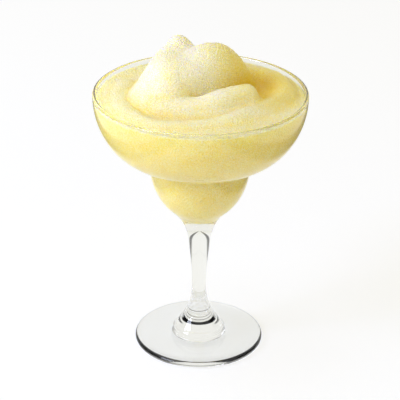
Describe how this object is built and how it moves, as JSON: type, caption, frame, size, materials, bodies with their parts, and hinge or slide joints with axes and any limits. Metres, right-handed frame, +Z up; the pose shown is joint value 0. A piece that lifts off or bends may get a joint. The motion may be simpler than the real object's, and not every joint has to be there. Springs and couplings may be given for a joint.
{
  "type": "frozen margarita",
  "caption": "Pale yellow frozen margarita, a slushy drink heaped in soft folds above the rim of a clear stemmed glass with a wide bowl and a small cup below it.",
  "frame": {"origin": "on the floor, under the middle of the glass's foot", "axes": "+Z up along the stem; the folds of the slush face -Y, which is the side seen from the front"},
  "size_m": [0.117, 0.117, 0.18],
  "materials": {
    "clear_glass": "clear, fire-polished soda-lime glass",
    "lime_slush": "pale yellow blended ice, fine-grained and damp"
  },
  "bodies": {
    "root": {"glass": "clear_glass", "frozen_drink": "lime_slush"}
  },
  "joints": []
}
